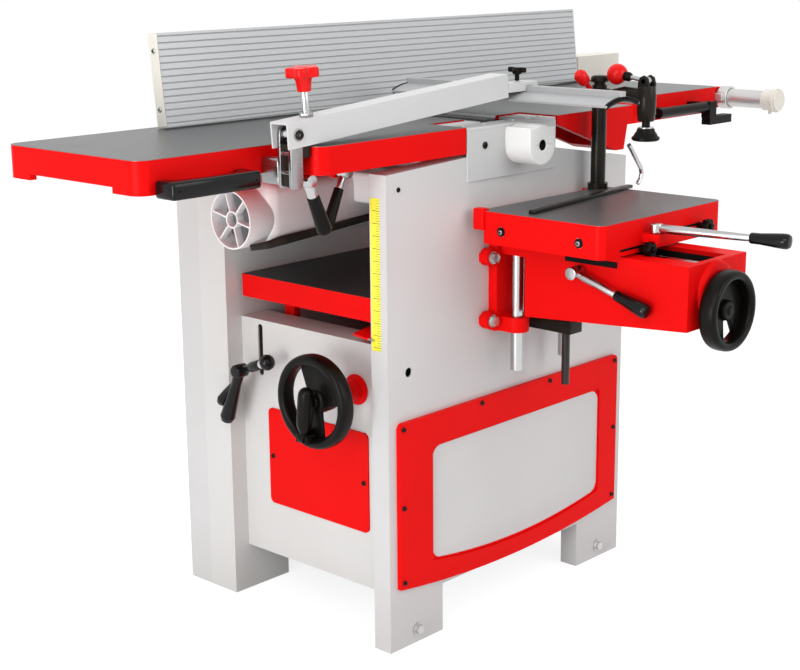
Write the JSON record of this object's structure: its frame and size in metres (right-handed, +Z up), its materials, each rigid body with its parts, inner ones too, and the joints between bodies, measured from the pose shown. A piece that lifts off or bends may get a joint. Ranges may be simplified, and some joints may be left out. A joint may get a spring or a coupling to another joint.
{
  "type": "combination planer thicknesser",
  "caption": "Combination planer thicknesser with tipping cast tables, ribbed fence, bridge guard, rise and fall bed and a side slot mortiser",
  "frame": {"origin": "On the floor, midway along the cabinet and over its lift column, at the centre of the four floor anchor holes", "axes": "+X is the way wood is fed over the planer, -Y is the mortiser side, +Z is up"},
  "size_m": [1.542, 1.0155, 1.0082],
  "materials": {
    "sheet_grey": "satin light grey paint",
    "cast_red": "smooth red paint",
    "ground_iron": "ground",
    "steel": "bright",
    "chrome": "polished",
    "aluminium": "extruded",
    "black_plastic": "moulded",
    "black_oxide": "blackened",
    "white_plastic": "moulded",
    "red_plastic": "moulded",
    "cream": "cream paint",
    "belt_rubber": "ribbed",
    "machine_grey": "grey paint"
  },
  "bodies": {
    "frame": {"near_wall": "sheet_grey", "rear_wall": "sheet_grey", "front_panel": "sheet_grey", "back_panel": "sheet_grey", "floor_pan": "machine_grey", "belt_cover": "sheet_grey", "side_panel": "cast_red", "front_cover": "cast_red", "handwheel_flange": "cast_red", "hex_bolts": "steel", "cutter_side_plate": "sheet_grey", "chuck_cover": "white_plastic", "dust_hood": "white_plastic", "motor": "machine_grey", "drive_belt": "belt_rubber", "bearing_housings": "ground_iron", "hinge_pins": "steel", "mort_bracket": "cast_red", "nut_block": "black_oxide"},
    "cutter": {"cutterblock": "steel", "planer_knives": "chrome", "cutter_pulley": "machine_grey", "mortise_chuck": "steel"},
    "motor_rotor": {"motor_pulley": "machine_grey"},
    "infeed_feed": {"infeed_roller": "steel"},
    "outfeed_feed": {"outfeed_roller": "steel"},
    "bed": {"thickness_table": "cast_red", "lift_column": "steel"},
    "lift_screw_body": {"lift_screw": "black_oxide"},
    "wheel": {"rise_handwheel": "black_plastic"},
    "crank": {"crank_grip": "black_plastic"},
    "bed_lock": {"lock_lever": "black_plastic"},
    "outfeed": {"outfeed_table": "cast_red", "outfeed_handle": "black_plastic", "fence_tube": "chrome", "tube_cap": "cream"},
    "infeed": {"infeed_table": "cast_red", "infeed_handle": "black_plastic", "guard_post": "steel"},
    "table_lock": {"table_lock_lever": "chrome"},
    "depth_set": {"depth_lever": "chrome"},
    "carriage": {"fence_carriage": "cream"},
    "fence": {"fence_plate": "aluminium"},
    "guard": {"guard_arm": "sheet_grey", "blade_bracket": "steel"},
    "guard_screw": {"guard_knob": "red_plastic"},
    "blade": {"guard_blade": "aluminium"},
    "knee": {"mort_knee": "cast_red", "guide_rods": "chrome"},
    "knee_screw": {"mort_spindle": "black_oxide"},
    "knee_wheel": {"mort_handwheel": "black_plastic"},
    "saddle": {"mort_saddle": "ground_iron"},
    "mortise_table": {"mort_table": "cast_red", "traverse_rods": "chrome", "clamp_column": "black_oxide"},
    "traverse_arm": {"traverse_lever": "chrome"},
    "plunge_arm": {"plunge_lever": "chrome"},
    "clamp": {"clamp_arm": "black_oxide"},
    "clamp_cam": {"clamp_lever": "red_plastic"},
    "clamp_pad": {"clamp_foot": "black_oxide"}
  },
  "joints": [
    {"name": "cutter_spin", "type": "hinge", "parent": "frame", "child": "cutter", "pos_m": [0, 0, 0.818], "axis": [0, 1, 0], "continuous": true},
    {"name": "motor_spin", "type": "hinge", "parent": "frame", "child": "motor_rotor", "pos_m": [0.16, 0.25, 0.26], "axis": [0, 1, 0], "continuous": true},
    {"name": "infeed_roller_spin", "type": "hinge", "parent": "frame", "child": "infeed_feed", "pos_m": [-0.086, 0, 0.783], "axis": [0, 1, 0], "continuous": true},
    {"name": "outfeed_roller_spin", "type": "hinge", "parent": "frame", "child": "outfeed_feed", "pos_m": [0.086, 0, 0.783], "axis": [0, 1, 0], "continuous": true},
    {"name": "bed_lift", "type": "slide", "parent": "frame", "child": "bed", "axis": [0, 0, 1], "range_m": [-0.005, 0.045]},
    {"name": "bed_screw_turn", "type": "hinge", "parent": "frame", "child": "lift_screw_body", "pos_m": [0, 0, 0.2], "axis": [0, 0, 1], "range_deg": [-365, 3245]},
    {"name": "handwheel_turn", "type": "hinge", "parent": "frame", "child": "wheel", "pos_m": [-0.382, -0.117, 0.43], "axis": [-1, 0, 0], "range_deg": [-365, 3245]},
    {"name": "crank_fold", "type": "hinge", "parent": "wheel", "child": "crank", "pos_m": [-0.404, -0.11094, 0.37232], "axis": [0, -0.9945, -0.1045], "range_deg": [0, 90]},
    {"name": "bed_lock_turn", "type": "hinge", "parent": "bed", "child": "bed_lock", "pos_m": [-0.336, 0.117, 0.43], "axis": [1, 0, 0], "range_deg": [-30, 60]},
    {"name": "outfeed_tip", "type": "hinge", "parent": "frame", "child": "outfeed", "pos_m": [0, 0.205, 0.8], "axis": [-1, 0, 0], "range_deg": [0, 70]},
    {"name": "infeed_tip", "type": "hinge", "parent": "frame", "child": "infeed", "pos_m": [0, 0.205, 0.8], "axis": [-1, 0, 0], "range_deg": [0, 70]},
    {"name": "table_lock_turn", "type": "hinge", "parent": "infeed", "child": "table_lock", "pos_m": [-0.448, -0.18, 0.8], "axis": [0, 1, 0], "range_deg": [0, 40]},
    {"name": "depth_turn", "type": "hinge", "parent": "infeed", "child": "depth_set", "pos_m": [-0.34, -0.15, 0.8], "axis": [0, -1, 0], "range_deg": [-10, 25]},
    {"name": "fence_slide", "type": "slide", "parent": "outfeed", "child": "carriage", "axis": [0, 1, 0], "range_m": [-0.04, 0]},
    {"name": "fence_tilt", "type": "hinge", "parent": "carriage", "child": "fence", "pos_m": [0.5, 0.172, 0.875], "axis": [-1, 0, 0], "range_deg": [0, 25]},
    {"name": "guard_raise", "type": "hinge", "parent": "infeed", "child": "guard", "pos_m": [-0.493, -0.192, 0.875], "axis": [0, -1, 0], "range_deg": [0, 25]},
    {"name": "guard_screw_turn", "type": "hinge", "parent": "guard", "child": "guard_screw", "pos_m": [-0.4571, -0.192, 0.8778], "axis": [-0.0767, 0, 0.9971], "continuous": true},
    {"name": "blade_slide", "type": "slide", "parent": "guard", "child": "blade", "axis": [0, 1, 0], "range_m": [-0.15, 0.02]},
    {"name": "knee_lift", "type": "slide", "parent": "frame", "child": "knee", "axis": [0, 0, 1], "range_m": [-0.01, 0.045]},
    {"name": "knee_screw_turn", "type": "hinge", "parent": "knee", "child": "knee_screw", "pos_m": [0.024, -0.312, 0.5], "axis": [0, 0, 1], "range_deg": [-725, 3245]},
    {"name": "knee_wheel_turn", "type": "hinge", "parent": "knee", "child": "knee_wheel", "pos_m": [0.014, -0.629, 0.588], "axis": [0, -1, 0], "range_deg": [-725, 3245]},
    {"name": "plunge_slide", "type": "slide", "parent": "knee", "child": "saddle", "axis": [0, 1, 0], "range_m": [-0.11, 0]},
    {"name": "traverse_slide", "type": "slide", "parent": "saddle", "child": "mortise_table", "axis": [1, 0, 0], "range_m": [-0.06, 0.06]},
    {"name": "traverse_turn", "type": "hinge", "parent": "mortise_table", "child": "traverse_arm", "pos_m": [-0.003, -0.505, 0.705], "axis": [0, 0, 1], "range_deg": [-22, 22]},
    {"name": "plunge_turn", "type": "hinge", "parent": "knee", "child": "plunge_arm", "pos_m": [-0.077, -0.404, 0.632], "axis": [1, 0, 0], "range_deg": [-1, 62]},
    {"name": "clamp_height", "type": "slide", "parent": "mortise_table", "child": "clamp", "axis": [0, 0, 1], "range_m": [-0.05, 0.01]},
    {"name": "clamp_cam_turn", "type": "hinge", "parent": "clamp", "child": "clamp_cam", "pos_m": [0.191, -0.349, 0.914], "axis": [1, 0, 0], "range_deg": [0, 75]},
    {"name": "clamp_pad_slide", "type": "slide", "parent": "clamp", "child": "clamp_pad", "axis": [0, 0, 1], "range_m": [0, 0.009]}
  ],
  "couplings": [
    {"joint": "motor_spin", "follows": "cutter_spin", "ratio": 0.5},
    {"joint": "outfeed_roller_spin", "follows": "infeed_roller_spin", "ratio": 1},
    {"joint": "bed_screw_turn", "follows": "bed_lift", "rad_per_m": 1256.6},
    {"joint": "handwheel_turn", "follows": "bed_lift", "rad_per_m": 1256.6},
    {"joint": "infeed_tip", "follows": "outfeed_tip", "ratio": 1},
    {"joint": "knee_screw_turn", "follows": "knee_lift", "rad_per_m": 1256.6},
    {"joint": "knee_wheel_turn", "follows": "knee_lift", "rad_per_m": 1256.6},
    {"joint": "traverse_turn", "follows": "traverse_slide", "rad_per_m": 6},
    {"joint": "plunge_turn", "follows": "plunge_slide", "rad_per_m": -9.5},
    {"joint": "clamp_pad_slide", "follows": "clamp_cam_turn", "m_per_rad": 0.0065}
  ]
}
